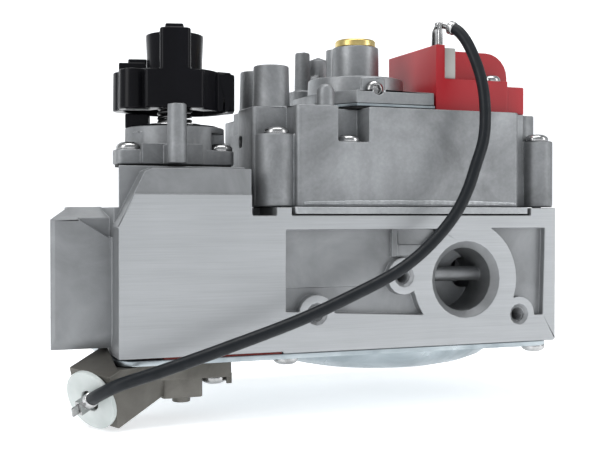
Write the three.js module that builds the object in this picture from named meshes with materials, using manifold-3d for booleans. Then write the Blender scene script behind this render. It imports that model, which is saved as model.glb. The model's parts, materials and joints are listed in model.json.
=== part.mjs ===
// Gas control valve with a push-and-turn knob, a servo regulator and an operator coil.
// Millimetres. The origin is the centre of the inlet port's mouth on the machined front face:
// +X runs along the valve, +Y goes in through the port, +Z is up.
import * as THREE from 'three';
import { mergeVertices } from 'three/addons/utils/BufferGeometryUtils.js';
import Module from 'manifold-3d';

const wasm = await Module();
wasm.setup();

// ---- driving dimensions ----
const DEPTH = 90;                 // between the two machined flange faces
const BODY = { left: -122.4, right: 36.8, bottom: -22.2, top: 25.1 };
const BODY_SIDE = { x: 41, y: 7 };  // the right side spreads out behind the machined face
const BODY_SEAT_Z = 22.4;         // recess in the body's top that takes the gasket and plate
const RECESS = { left: -65.3, right: 26.5 };
const RAISED = { right: -79, top: 37.4, back: 8 };    // raised left end of the machined face
const RAISED_EDGE = [[-122.9, 18.6], [-114, 36.3], [-111.3, RAISED.top]];
const TOWER = { left: -120.8, backLeft: -109.6, top: 38.3, back: 57 };  // cast seat of the bonnet
const END_BLOCK = { left: -141.6, front: 10, slopeFront: 20.9, top: 25.3, bottom: -19.7 };
const MACHINED_TOP_Z = 29.2;

const PORT_R = 11.1;
const PORT_CHAMFER = 2.4;
const PORT_LENGTH = 18;
const FLANGE_HOLES = [[-24.2, 1.6], [21.7, -12.9], [-56.4, -10.2]];
const HOLE_R = 2.6;
const HOLE_CHAMFER = 1.2;
const HOLE_DEPTH = 12;
const LAND_R = 6.4;               // machined land round each threaded hole
const PORT_LAND_R = 20.6;
const POCKET_DEPTH = 2.4;
const POCKET_STEP = { z: -1.6, depth: 3.2 };  // the left pocket is deeper below this line

const GAP = 0.3;                  // clearance between pieces that fit into each other
const SEGMENTS = 24;

const COVER = { top: -22.9, thickness: 1.8, left: -122.2, right: 36.2, front: 0.6 };
const RED_EDGE = { left: -108, right: -68.6 };  // stretch of the gasket that shows at the front
const DOME = { x: -13, y: 45, halfLength: 45, halfWidth: 38, depth: 9.8, wall: 1.2 };

const CASING = { left: -62, right: 24.4, front: 4, back: 86, bottom: 25.4, top: 59.5 };
const CASING_STEP = { right: 36.2, front: 10 };  // the right end stands back behind its boss
const CASING_WALL = 5;
const BOSS_TOP = 49.6;
const LEFT_BOSS = { x: -68.2, y: 9.6, r: 6.4 };
const RIGHT_BOSS = { x: 35.3, y: 8.8, r: 5.3 };
const SLOT = { left: -46.9, right: -35.5, back: 14, floor: 47.5 };
const SLOT_SCREW = [-41.2, 9.4];

const KNOB = { x: -96.4, y: 32 };
const KNOB_TWIST = -14.4;         // degrees that the knob's grip stands off the flow axis
const KNOB_BOTTOM = 58;
const KNOB_DISC_TOP = 71.4;
const KNOB_HUB_BOTTOM = 64;
const BONNET_BOTTOM = 39.2;
const BONNET_TOP = 52.2;
const SPINDLE_R = 3;
const COCK_BORE_R = 8.4;

const VALVE = { x: -14, y: 45 };  // axis of the main valve
const SEAT_R = 11;

const REG = { x: -28.2, y: 32 };
const REG_Z = { gasket: 59.6, plate: 60.4, base: 61.4, disc: 66, tower: 71.6, top: 83.7, cap: 86.5 };

const COIL = { left: -6.5, right: 31.3, front: 10, back: 48.4, bottom: 59.7, top: 83.4, ledge: 71.4 };
const COIL_WALL = 3.6;
const COIL_AXIS = [12, 35];

const BLOCK_AXIS = new THREE.Vector3(0.783, 0.517, 0.345).normalize();
const BLOCK_FACE = new THREE.Vector3(-129.2, 5, -34.2);
const LEAD_R = 2;

// ---- solids ----
function signedVolume(positions, triangles) {
  const [a, b, c] = [new THREE.Vector3(), new THREE.Vector3(), new THREE.Vector3()];
  let volume = 0;
  for (let i = 0; i < triangles.length; i += 3) {
    a.fromArray(positions, triangles[i] * 3);
    b.fromArray(positions, triangles[i + 1] * 3);
    c.fromArray(positions, triangles[i + 2] * 3);
    volume += a.dot(b.cross(c));
  }
  return volume;
}

// A closed geometry as a solid: vertices merged, no flat triangles, faces pointing out.
function toManifold(geometry) {
  const plain = new THREE.BufferGeometry();
  plain.setAttribute('position', (geometry.index ? geometry.toNonIndexed() : geometry).attributes.position);
  const merged = mergeVertices(plain, 1e-4);
  const vertProperties = new Float32Array(merged.attributes.position.array);
  const triangles = [];
  for (let i = 0; i < merged.index.count; i += 3) {
    const [a, b, c] = merged.index.array.slice(i, i + 3);
    if (a !== b && b !== c && c !== a) {
      triangles.push(a, b, c);
    }
  }
  if (signedVolume(vertProperties, triangles) < 0) {
    triangles.reverse();
  }
  const triVerts = new Uint32Array(triangles);
  return new wasm.Manifold(new wasm.Mesh({ numProp: 3, vertProperties, triVerts }));
}

function toGeometry(solid) {
  const mesh = solid.getMesh();
  const geometry = new THREE.BufferGeometry();
  geometry.setAttribute('position', new THREE.BufferAttribute(mesh.vertProperties, 3));
  geometry.setIndex(new THREE.BufferAttribute(mesh.triVerts, 1));
  const faceted = geometry.toNonIndexed();
  faceted.computeVertexNormals();
  return faceted;
}

function box(x0, x1, y0, y1, z0, z1) {
  const geometry = new THREE.BoxGeometry(x1 - x0, y1 - y0, z1 - z0);
  geometry.translate((x0 + x1) / 2, (y0 + y1) / 2, (z0 + z1) / 2);
  return toManifold(geometry);
}

// A cylinder or cone standing on z0; a second radius makes it taper.
function post(x, y, z0, z1, r, rTop = r, segments = SEGMENTS) {
  const geometry = new THREE.CylinderGeometry(rTop, r, z1 - z0, segments);
  geometry.rotateX(Math.PI / 2);
  geometry.translate(x, y, (z0 + z1) / 2);
  return toManifold(geometry);
}

// A cylinder or cone along +Y from y0; r is its radius at y0.
function rodY(x, z, y0, y1, r, rEnd = r, segments = SEGMENTS) {
  const geometry = new THREE.CylinderGeometry(rEnd, r, y1 - y0, segments);
  geometry.translate(x, (y0 + y1) / 2, z);
  return toManifold(geometry);
}

function rodX(y, z, x0, x1, r, segments = SEGMENTS) {
  const geometry = new THREE.CylinderGeometry(r, r, x1 - x0, segments);
  geometry.rotateZ(-Math.PI / 2);
  geometry.translate((x0 + x1) / 2, y, z);
  return toManifold(geometry);
}

function tube(x, y, z0, z1, rOut, rIn, segments = SEGMENTS) {
  return post(x, y, z0, z1, rOut, rOut, segments).subtract(post(x, y, z0 - 1, z1 + 1, rIn, rIn, segments));
}

function outline(points) {
  return new THREE.Shape(points.map(([a, b]) => new THREE.Vector2(a, b)));
}

// An outline in plan, extruded upwards.
function slab(points, z0, z1) {
  const geometry = new THREE.ExtrudeGeometry(outline(points), { depth: z1 - z0, bevelEnabled: false });
  geometry.translate(0, 0, z0);
  return toManifold(geometry);
}

// An outline drawn in X and Z, extruded along +Y.
function plateXZ(points, y0, y1) {
  const geometry = new THREE.ExtrudeGeometry(outline(points), { depth: y1 - y0, bevelEnabled: false });
  geometry.applyMatrix4(new THREE.Matrix4().makeBasis(
    new THREE.Vector3(1, 0, 0), new THREE.Vector3(0, 0, 1), new THREE.Vector3(0, 1, 0)));
  geometry.translate(0, y0, 0);
  return toManifold(geometry);
}

// An outline drawn in Y and Z, extruded along +X.
function plateYZ(points, x0, x1) {
  const geometry = new THREE.ExtrudeGeometry(outline(points), { depth: x1 - x0, bevelEnabled: false });
  geometry.applyMatrix4(new THREE.Matrix4().makeBasis(
    new THREE.Vector3(0, 1, 0), new THREE.Vector3(0, 0, 1), new THREE.Vector3(1, 0, 0)));
  geometry.translate(x0, 0, 0);
  return toManifold(geometry);
}

// A body of revolution about a vertical axis; the profile is [radius, z] from axis to axis.
function turned(x, y, profile, segments = SEGMENTS) {
  const points = profile.map(([r, z]) => new THREE.Vector2(r, z));
  const geometry = new THREE.LatheGeometry(points, segments);
  geometry.rotateX(Math.PI / 2);
  geometry.translate(x, y, 0);
  return toManifold(geometry);
}

function roundedOutline(x0, x1, y0, y1, radius, steps = 4) {
  const corners = [[x1 - radius, y1 - radius, 0], [x0 + radius, y1 - radius, 1],
    [x0 + radius, y0 + radius, 2], [x1 - radius, y0 + radius, 3]];
  const points = [];
  for (const [cx, cy, quarter] of corners) {
    for (let i = 0; i <= steps; i += 1) {
      const angle = (quarter + i / steps) * Math.PI / 2;
      points.push([cx + radius * Math.cos(angle), cy + radius * Math.sin(angle)]);
    }
  }
  return points;
}

function roundedBox(x0, x1, y0, y1, z0, z1, radius) {
  return slab(roundedOutline(x0, x1, y0, y1, radius), z0, z1);
}

class Helix extends THREE.Curve {
  constructor(radius, height, turns) {
    super();
    this.radius = radius;
    this.height = height;
    this.turns = turns;
  }

  getPoint(t, target = new THREE.Vector3()) {
    const angle = t * this.turns * 2 * Math.PI;
    return target.set(this.radius * Math.cos(angle), this.radius * Math.sin(angle), t * this.height);
  }
}

// A compression spring standing between z0 and z1.
function spring(x, y, z0, z1, radius, wire, turns) {
  const section = new THREE.Shape();
  section.absarc(0, 0, wire / 2, 0, 2 * Math.PI);
  const path = new Helix(radius, z1 - z0 - wire, turns);
  const options = { steps: turns * 8, curveSegments: 2, extrudePath: path };
  const geometry = new THREE.ExtrudeGeometry(section, options);
  geometry.translate(x, y, z0 + wire / 2);
  return toManifold(geometry);
}

function union(solids) {
  return solids.reduce((whole, next) => whole.add(next));
}

function cut(solid, cutters) {
  return cutters.reduce((left, next) => left.subtract(next), solid);
}

// ---- the scene graph ----
const group = new THREE.Group();
group.name = 'gas_valve';

const FINISH = {
  castAluminium: { color: 0x8e9195, roughness: 0.55, metalness: 0.85 },
  plateAluminium: { color: 0xb0b4b7, roughness: 0.4, metalness: 0.9 },
  zinc: { color: 0xbcc8cc, roughness: 0.35, metalness: 0.9 },
  brightSteel: { color: 0xc9cbca, roughness: 0.25, metalness: 1 },
  springSteel: { color: 0x9a9c9e, roughness: 0.3, metalness: 1 },
  brass: { color: 0xbea55a, roughness: 0.3, metalness: 1 },
  zincCasting: { color: 0x69675f, roughness: 0.6, metalness: 0.6 },
  redPlastic: { color: 0xa31420, roughness: 0.4, metalness: 0 },
  blackPlastic: { color: 0x101113, roughness: 0.3, metalness: 0 },
  nylon: { color: 0xd6d8d6, roughness: 0.5, metalness: 0 },
  greyPlastic: { color: 0xb9b9b4, roughness: 0.6, metalness: 0 },
  rubber: { color: 0x17181a, roughness: 0.8, metalness: 0 },
  redGasket: { color: 0x6b1d1a, roughness: 0.8, metalness: 0 },
  copper: { color: 0xa8623a, roughness: 0.4, metalness: 0.9 },
  leadSleeve: { color: 0x24282b, roughness: 0.55, metalness: 0 },
};

function addMesh(name, solid, finish) {
  const mesh = new THREE.Mesh(toGeometry(solid), new THREE.MeshStandardMaterial(FINISH[finish]));
  mesh.name = name;
  group.add(mesh);
  return mesh;
}

// ---- screws: pan heads with a socket, made pointing down from z = 0 ----
const SCREW_HEAD_R = 4.35;
const SCREW_HEAD_H = 2.6;
const SHANK_R = 1.9;
const SHANK_HOLE_R = SHANK_R + GAP;

function screwSolid(length, headR = SCREW_HEAD_R, headH = SCREW_HEAD_H) {
  const profile = [[0, -length], [SHANK_R, -length], [SHANK_R, 0], [headR, 0], [headR, headH * 0.55],
    [headR * 0.7, headH], [0, headH]];
  const recess = post(0, 0, headH * 0.4, headH + 1, headR * 0.4, headR * 0.4, 6);
  return turned(0, 0, profile, 14).subtract(recess);
}

function screwHole(x, y, z0, z1) {
  return post(x, y, z0, z1, SHANK_HOLE_R, SHANK_HOLE_R, 10);
}

function addScrew(name, position, length, rotation = [0, 0, 0], headR = SCREW_HEAD_R) {
  const mesh = addMesh(name, screwSolid(length, headR), 'brightSteel');
  mesh.position.set(...position);
  mesh.rotation.set(...rotation);
}

// ---- valve body ----
const CASING_SCREWS = [
  [LEFT_BOSS.x + 0.7, LEFT_BOSS.y - 0.6, BOSS_TOP],
  [RIGHT_BOSS.x - 1, RIGHT_BOSS.y - 0.6, BOSS_TOP],
  [...SLOT_SCREW, SLOT.floor],
  [LEFT_BOSS.x + 0.7, DEPTH - LEFT_BOSS.y + 0.6, BOSS_TOP],
  [RIGHT_BOSS.x - 1, DEPTH - RIGHT_BOSS.y + 0.6, BOSS_TOP],
];
const CASING_SCREW_LENGTH = 29;

const COVER_SCREWS = [[-64.6, 8], [31.8, 6.5], [-64.6, 82], [31.8, 83.5]];
const COVER_SCREW_LENGTH = 9;

const EARS = [[-114.7, 20.8], [-83.6, 20.8]];
const EAR_TOP = 44;

// One flange side of the body, cut into the face at y = 0.
function flangeCutters() {
  const port = rodY(0, 0, -1, PORT_LENGTH, PORT_R, PORT_R, 28);
  const mouth = rodY(0, 0, -0.01, PORT_CHAMFER, PORT_R + PORT_CHAMFER, PORT_R, 28);
  const cutters = [port, mouth];
  const lands = [rodY(0, 0, -2, 6, PORT_LAND_R, PORT_LAND_R, 40)];
  for (const [x, z] of FLANGE_HOLES) {
    cutters.push(rodY(x, z, -1, HOLE_DEPTH, HOLE_R, HOLE_R, 12));
    cutters.push(rodY(x, z, -0.01, HOLE_CHAMFER, HOLE_R + HOLE_CHAMFER, HOLE_R, 12));
    lands.push(rodY(x, z, -2, 6, LAND_R, LAND_R, 20));
  }
  const leftOutline = [[-67.4, -9.1], [-16.4, -11.8], [-20.6, -3.9], [-14, 8], [-8, 17.7], [-67.4, 17.7]];
  const rightOutline = [[12, -8], [25, -13.3], [31.6, -13.3], [32.4, 17.9], [8, 17.9]];
  const leftPocket = plateXZ(leftOutline, -1, POCKET_DEPTH);
  const deeper = plateXZ(leftOutline, -1, POCKET_STEP.depth)
    .intersect(box(-70, -10, -2, 10, -14, POCKET_STEP.z));
  const ribs = [
    box(-28.4, -26, 1.2, 6, 8.2, 18),
    box(-26.2, -12, 1.7, 6, 12.4, 18),
    box(-26.2, -14, 0.9, 6, 8.6, 12.4),
  ];
  cutters.push(cut(leftPocket.add(deeper), [...lands, ...ribs]));
  cutters.push(cut(plateXZ(rightOutline, -1, POCKET_DEPTH), lands));
  return cutters;
}

function mirrorY(solid) {
  return solid.mirror([0, 1, 0]).translate([0, DEPTH, 0]);
}

// Block at the body's left end: sloped on top, with its front's upper right corner cut away.
function makeEndBlock() {
  const { left, front, slopeFront, top, bottom } = END_BLOCK;
  const plan = [[left, front + 1.4], [left + 1.2, front], [-121, front], [-121, 52], [left + 10.6, 52],
    [left + 9, front + 25]];
  const whole = slab(plan, bottom, top);
  const slope = plateYZ([[front - 1, slopeFront], [front + 25, top], [front - 1, top + 2]], left - 2, -119);
  const foot = plateYZ([[front - 1, bottom + 4], [front, bottom + 4], [front + 2, bottom - 1],
    [front - 1, bottom - 1]], left - 2, -119);
  const corner = plateXZ([[-132.6, slopeFront], [-123.6, 15.6], [-119, 15.6], [-119, top + 1],
    [-132.6, top + 1]], front - 1, front + 4);
  return cut(whole, [slope, foot, corner]);
}

function makeBody() {
  const base = slab([[BODY.left, 0], [BODY.right, 0], [BODY_SIDE.x, BODY_SIDE.y],
    [BODY_SIDE.x, DEPTH - BODY_SIDE.y], [BODY.right, DEPTH], [BODY.left, DEPTH]], BODY.bottom, BODY.top);
  const raised = plateXZ([RAISED_EDGE[0], [RAISED.right, 18.6], [RAISED.right, RAISED.top], RAISED_EDGE[2],
    RAISED_EDGE[1]], 0, RAISED.back + 1);
  const corner = plateXZ([[-126, 18.6], ...RAISED_EDGE, [-111.3, 45], [-126, 45]], -1, RAISED.back);
  const tower = slab([[TOWER.left, RAISED.back], [RAISED.right, RAISED.back], [RAISED.right, TOWER.back],
    [TOWER.backLeft, TOWER.back]], 20, TOWER.top);
  const lip = box(RED_EDGE.right + 0.3, BODY.right - 0.2, 0, 3.4, COVER.top + 0.1, BODY.bottom + 0.1);
  const rod = rodX(11.5, 1.5, -PORT_R - 0.4, PORT_R + 0.4, 2.6, 20);
  const whole = union([base.subtract(corner), raised, tower, makeEndBlock(), lip]);

  const cutters = [...flangeCutters(), ...flangeCutters().map(mirrorY)];
  cutters.push(box(-130, -70, -1, 0.7, MACHINED_TOP_Z, 40));
  cutters.push(box(RECESS.left, RECESS.right, -1, DEPTH + 1, BODY_SEAT_Z, BODY.top + 1));
  cutters.push(box(RAISED.right + 0.2, -70.6, -1, 17, BODY_SEAT_Z, BODY.top + 1));
  // Cock bore under the knob, open at both ends.
  cutters.push(post(KNOB.x, KNOB.y, BODY.bottom - 1, TOWER.top + 1, COCK_BORE_R));
  // Gas way from the cock to the inlet chamber over the main valve.
  cutters.push(rodX(36, 12, KNOB.x, VALVE.x, 4.5, 10));
  cutters.push(post(VALVE.x, VALVE.y, 3, BODY_SEAT_Z + 1, 18, 18, 20));
  cutters.push(post(VALVE.x, VALVE.y, -4, 4, SEAT_R, SEAT_R, 20));
  cutters.push(rodY(9, 1.5, PORT_LENGTH - 1, 29, 5.5, 5.5, 20));
  cutters.push(box(-12, 12, 25, VALVE.y, 3, 10));
  // Outlet chamber under the seat, open at the bottom and at the outlet port.
  cutters.push(post(VALVE.x, VALVE.y, BODY.bottom - 1, -3, 24, 24, 20));
  cutters.push(box(-8, 8, 60, DEPTH - PORT_LENGTH + 1, -7.5, -3.5));
  for (const [x, y] of CASING_SCREWS) {
    cutters.push(screwHole(x, y, BODY.top - 8, BODY.top + 1));
  }
  for (const [x, y] of EARS) {
    cutters.push(screwHole(x, y, TOWER.top - 8, TOWER.top + 1));
  }
  for (const [x, y] of COVER_SCREWS) {
    cutters.push(screwHole(x, y, BODY.bottom - 1, BODY.bottom + 8));
  }
  const seatRim = tube(VALVE.x, VALVE.y, 2.5, 3.8, SEAT_R + 1.4, SEAT_R, 20);
  return cut(whole, cutters).add(seatRim).add(rod);
}

// ---- bottom cover with its diaphragm dome ----
// A shallow oval bowl hanging down from z = 0, inset from the dome's outline.
function bowl(inset, depth) {
  const rings = 6;
  const profile = [];
  for (let i = 0; i <= rings; i += 1) {
    const angle = i / rings * Math.PI / 2;
    profile.push([Math.sin(angle) ** 0.75, -Math.cos(angle)]);
  }
  profile.push([1, 0.1], [0, 0.1]);
  const size = [DOME.halfLength - inset, DOME.halfWidth - inset, depth];
  return turned(0, 0, profile, 36).scale(size).translate([DOME.x, DOME.y, 0]);
}

function makeCover() {
  const bottom = COVER.top - COVER.thickness;
  const sheet = slab(roundedOutline(COVER.left, COVER.right, COVER.front, DEPTH - COVER.front, 7),
    bottom, COVER.top);
  const outer = bowl(0, DOME.depth).translate([0, 0, bottom]);
  const inner = bowl(DOME.wall, DOME.depth - DOME.wall + COVER.thickness).translate([0, 0, COVER.top]);
  const holes = COVER_SCREWS.map(([x, y]) => screwHole(x, y, bottom - 1, COVER.top + 1));
  return cut(sheet.add(outer), [inner, ...holes]);
}

const DIAPHRAGM_R = 36;

// The gasket reaches the front edge only along its red stretch.
function makeCoverGasket() {
  const sheet = slab(roundedOutline(-116, COVER.right - 1, 3.8, DEPTH - COVER.front - 0.3, 6),
    COVER.top, BODY.bottom);
  const shown = box(RED_EDGE.left, RED_EDGE.right, COVER.front + 0.3, 6, COVER.top, BODY.bottom);
  const window = post(VALVE.x, VALVE.y, COVER.top - 1, BODY.bottom + 1, DIAPHRAGM_R + GAP);
  const holes = COVER_SCREWS.map(([x, y]) => screwHole(x, y, -30, -20));
  return cut(sheet.add(shown), [window, ...holes]);
}

// ---- main valve: diaphragm, its plate, the disc with its stem, and the closing spring ----
const DIAPHRAGM_BOTTOM = -30;
const DIAPHRAGM_SKIN = 0.8;

// A hanging bowl of rubber with one rolled fold near its clamped rim.
function makeDiaphragm() {
  const rim = BODY.bottom - 0.1;
  const under = [[0, DIAPHRAGM_BOTTOM], [19, DIAPHRAGM_BOTTOM], [23, DIAPHRAGM_BOTTOM - 0.8],
    [27.5, DIAPHRAGM_BOTTOM + 1.4], [32, rim - 0.5], [DIAPHRAGM_R, rim - 0.5]];
  const over = [[DIAPHRAGM_R, rim], [31.4, rim], [26.8, DIAPHRAGM_BOTTOM + 1.8 + DIAPHRAGM_SKIN],
    [23, DIAPHRAGM_BOTTOM - 0.8 + DIAPHRAGM_SKIN], [19, DIAPHRAGM_BOTTOM + DIAPHRAGM_SKIN],
    [0, DIAPHRAGM_BOTTOM + DIAPHRAGM_SKIN]];
  return turned(VALVE.x, VALVE.y, [...under, ...over], 28);
}

// Disc that rests on the body's seat, with the stem that the diaphragm pushes up.
function makeMainValve() {
  return turned(VALVE.x, VALVE.y, [[0, -28], [2.2, -28], [2.2, 3.9], [SEAT_R + 2, 3.9], [SEAT_R + 2, 6.4],
    [4, 6.4], [4, 9], [0, 9]], 32);
}

// ---- upper casing ----
const PRESSURE_TAPS = [[-65.2, 20.6], [-64.6, 37]];
const TAP_BORE_R = 3.4;
const PILOT = { y: 27.6, z: 48, r: 2 };
const COIL_SCREW = [19.4, 15.8];

// Square column at the casing's left that carries the two pressure taps.
function leftTurret() {
  const columnTop = 59.3;
  const column = union([
    roundedBox(-74.1, -60, 14, 31.5, CASING.bottom, columnTop, 2),
    box(-72, -60, 25, 46, CASING.bottom, 51.3),
    box(-70.8, -58, 25, 46, 51, columnTop),
  ]);
  const taps = PRESSURE_TAPS.map(([x, y]) => post(x, y, columnTop - 1, 73.8, 6.5, 6.1, 28));
  return union([column, ...taps]);
}

function makeCasing() {
  const { left, right, front, back, bottom, top } = CASING;
  const solids = [roundedBox(left, right, front, back, bottom, top, 2)];
  solids.push(box(right - 3, CASING_STEP.right, CASING_STEP.front, DEPTH - CASING_STEP.front, bottom, top));
  for (const y of [LEFT_BOSS.y, DEPTH - LEFT_BOSS.y]) {
    solids.push(post(LEFT_BOSS.x, y, bottom, BOSS_TOP, LEFT_BOSS.r));
    solids.push(box(LEFT_BOSS.x, left + 2, y - 3.4, y + 3.4, bottom, BOSS_TOP));
  }
  for (const y of [RIGHT_BOSS.y, DEPTH - RIGHT_BOSS.y]) {
    solids.push(post(RIGHT_BOSS.x, y, bottom, BOSS_TOP, RIGHT_BOSS.r));
  }
  const bullet = turned(-49.7, 9, [[0, 59], [3.1, 59], [3, 65], [2, 66.8], [0, 67.3]], 16);
  const whole = union([...solids, leftTurret(), bullet]);

  const headRoom = SCREW_HEAD_R + 0.5;
  const cavity = box(left + CASING_WALL, right - CASING_WALL,
    front + 2 * CASING_WALL, back - 2 * CASING_WALL, bottom - 1, top - CASING_WALL);
  const slotBoss = box(SLOT.left - 3, SLOT.right + 3, 0, SLOT.back + 3, 0, 80);
  const cutters = [cavity.subtract(slotBoss)];
  cutters.push(box(SLOT.left, SLOT.right, 0, SLOT.back, SLOT.floor, 70));
  for (const [x, y, z] of CASING_SCREWS) {
    cutters.push(screwHole(x, y, bottom - 1, z + 1));
    if (z === BOSS_TOP) {
      cutters.push(post(x, y, z, top + 1, headRoom, headRoom, 20));
    }
  }
  for (const [x, y] of PRESSURE_TAPS) {
    cutters.push(post(x, y, 62, 80, TAP_BORE_R, TAP_BORE_R, 16));
  }
  cutters.push(rodX(PILOT.y, PILOT.z, -80, -65, PILOT.r, 12));
  cutters.push(post(REG.x, REG.y, top - 8, top + 1, 3, 3, 12));
  cutters.push(post(...COIL_AXIS, top - 8, top + 1, 3, 3, 12));
  cutters.push(screwHole(...COIL_SCREW, top - 4, top + 1));
  return cut(whole, cutters);
}

function makeSlottedScrew(x, y, z0, z1, r) {
  const slot = box(x - r - 1, x + r + 1, y - 0.5, y + 0.5, z1 - 1.2, z1 + 1);
  return post(x, y, z0, z1, r, r, 16).subtract(slot);
}

// ---- knob bonnet and knob ----
const DRUM_R = 17.1;
const BONNET_PIN = { x: -102, y: 7.4, r: 3.3, top: 58.3 };

function makeBonnet() {
  const ears = roundedBox(-119.6, -79.6, 16.2, 25.6, BONNET_BOTTOM, EAR_TOP, 2.2);
  const centre = box(-111.9, -91.3, 14.2, 47, BONNET_BOTTOM, 46);
  const drum = post(KNOB.x, KNOB.y, BONNET_BOTTOM, BONNET_TOP, DRUM_R, DRUM_R - 0.2, 36);
  const pin = post(BONNET_PIN.x, BONNET_PIN.y, BONNET_BOTTOM, BONNET_PIN.top, BONNET_PIN.r, 3, 20);
  const web = box(BONNET_PIN.x - 2.6, BONNET_PIN.x + 2.6, BONNET_PIN.y, 18, BONNET_BOTTOM, 45.4);
  const whole = union([ears, centre, drum, pin, web]);
  const cutters = [post(KNOB.x, KNOB.y, 0, 70, SPINDLE_R + 0.6, SPINDLE_R + 0.6, 20)];
  for (const [x, y] of EARS) {
    cutters.push(screwHole(x, y, 30, EAR_TOP + 1));
    cutters.push(post(x, y, EAR_TOP, BONNET_TOP - 2, SCREW_HEAD_R + 0.4, SCREW_HEAD_R + 0.4, 20));
  }
  return cut(whole, cutters);
}

function makeBonnetGasket() {
  const ears = roundedBox(-119, -80.2, 16.8, 25, TOWER.top, BONNET_BOTTOM, 2);
  const disc = post(KNOB.x, KNOB.y, TOWER.top, BONNET_BOTTOM, DRUM_R - 0.6, DRUM_R - 0.6, 28);
  const bore = post(KNOB.x, KNOB.y, 30, 50, SPINDLE_R + 0.6, SPINDLE_R + 0.6, 20);
  return cut(ears.add(disc), [bore, ...EARS.map(([x, y]) => screwHole(x, y, 30, 50))]);
}

// Turns a solid made about the origin to the knob's heading and sets it on the knob's axis.
function onKnob(solid) {
  return solid.rotate([0, 0, KNOB_TWIST]).translate([KNOB.x, KNOB.y, 0]);
}

// Black ring with one upstanding stop that limits the knob's turn.
function makeStopRing() {
  const ring = tube(0, 0, BONNET_TOP, BONNET_TOP + 0.6, 15, 10);
  const wall = tube(0, 0, BONNET_TOP, 57, 17, 9.6, 36).intersect(box(-18, -8, -3.5, 4.5, 50, 60));
  return onKnob(ring.add(wall));
}

const LOBES = [{ x: -15.4, y: 2, r: 5.8 }, { x: -13.5, y: -7.5, r: 5.3 }];

// Made with its grip along Y: lobes and a wing round a hollow disc, a cup and a grip on top.
function makeKnob() {
  const disc = post(0, 0, KNOB_BOTTOM, KNOB_DISC_TOP, 19.5, 19.3, 36)
    .intersect(box(-20, 20, -4, 20, 50, 80));
  const core = post(0, 0, KNOB_BOTTOM, KNOB_DISC_TOP, 15.5, 15.5, 32);
  const lobes = LOBES.map(({ x, y, r }) => post(x, y, KNOB_BOTTOM, KNOB_DISC_TOP, r, r - 0.15, 20));
  const front = roundedBox(-9.9, 9.7, -17, 0, KNOB_BOTTOM, KNOB_DISC_TOP - 0.7, 1.5);
  const wing = slab([[0, -6], [10.4, -6.4], [20.4, -3.6], [20.6, 4.6], [17, 9], [0, 9]],
    KNOB_BOTTOM, KNOB_DISC_TOP);
  const wingEnd = [23, KNOB_DISC_TOP - 0.9];
  const wingSlope = plateXZ([[10, KNOB_DISC_TOP], wingEnd, [23, KNOB_DISC_TOP + 2]], -10, 10);
  const lowStep = box(-19, -9.6, -1, 5.6, 70, 74.6);
  const highStep = box(-15.9, -9.6, 0.6, 5.6, 70, 76.2);
  const cup = turned(0, 0, [[0, 70.6], [9.5, 70.6], [9.5, 76], [9.9, 84.2], [8.6, 84.2], [8.2, 79],
    [0, 79]], 32);
  const grip = roundedBox(-4.9, 5.3, -17, 17, 70.6, 84.4, 1.6);
  const tab = box(-3.1, 2.9, -16.2, -7, 84, 85.8);
  const whole = union([disc, core, ...lobes, front, wing.subtract(wingSlope), lowStep, highStep, cup,
    grip, tab]);

  const groove = tube(0, 0, KNOB_BOTTOM - 1, 62.5, 17.6, 9, 36)
    .intersect(box(-18, 18, -4.6, 18, 50, 80));
  const springRoom = post(0, 0, KNOB_BOTTOM - 1, KNOB_HUB_BOTTOM, 7.4, 7.4, 24);
  const washerRoom = post(0, 0, KNOB_BOTTOM - 1, KNOB_BOTTOM + 1.6, 9.8, 9.8, 24);
  const bore = post(0, 0, KNOB_BOTTOM - 1, 68, SPINDLE_R + 0.3, SPINDLE_R + 0.3, 20);
  const flat = box(-5, 5, 2.3, 6, KNOB_HUB_BOTTOM + 1, 70);
  return onKnob(cut(whole, [groove, springRoom, washerRoom, bore.subtract(flat)]));
}

function makeSpindle() {
  const rod = post(0, 0, -1.5, 67.5, SPINDLE_R, SPINDLE_R, 20);
  return onKnob(rod.subtract(box(-5, 5, 2, 6, KNOB_HUB_BOTTOM + 0.5, 70)));
}

function makeCock() {
  const plug = tube(KNOB.x, KNOB.y, 5, 26, COCK_BORE_R - 0.3, SPINDLE_R + 0.4, 24);
  return plug.subtract(rodX(36, 12, KNOB.x, KNOB.x + 12, 3, 12));
}

// ---- regulator on the casing's top ----
const REG_SCREW = { x: -29, z: 66.6, face: 14.4, headR: 3.3 };
const REG_PLATE = { left: -46, right: -7.3, front: 10, back: 50 };

function regulatorOutline(inset) {
  const right = REG_PLATE.right - inset;
  const front = REG_PLATE.front + inset;
  const back = REG_PLATE.back - inset;
  return [[-37.3, front], [right, front], [right, back], [REG_PLATE.left + inset, back],
    [REG_PLATE.left + inset, 24], [-42.3 + inset, 18]];
}

function makeRegulatorHousing() {
  const plate = slab(regulatorOutline(0), REG_Z.base, REG_Z.disc);
  const disc = post(REG.x, REG.y, REG_Z.base, REG_Z.tower, 17.9, 17.4, 40);
  const tower = post(REG.x, REG.y, REG_Z.base, REG_Z.top, 8.7, 8.5, 32);
  const rib = post(-30.8, 43.6, REG_Z.base, REG_Z.top + 0.9, 4, 3.9, 20);
  const pad = box(-33.4, -24.6, REG_SCREW.face, 20, REG_Z.base, REG_Z.tower - 0.8);
  const whole = union([plate, disc, tower, rib, pad]);
  return cut(whole, [
    post(REG.x, REG.y, REG_Z.base - 1, REG_Z.disc, 14.5),
    post(REG.x, REG.y, REG_Z.base, REG_Z.top + 1, 6.8),
    box(-33.4, -24.6, REG_PLATE.front + 1.4, REG_SCREW.face, REG_Z.base + 1, REG_Z.disc + 1),
    rodY(REG_SCREW.x, REG_SCREW.z, 10, 19, SHANK_HOLE_R, SHANK_HOLE_R, 10),
  ]);
}

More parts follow.
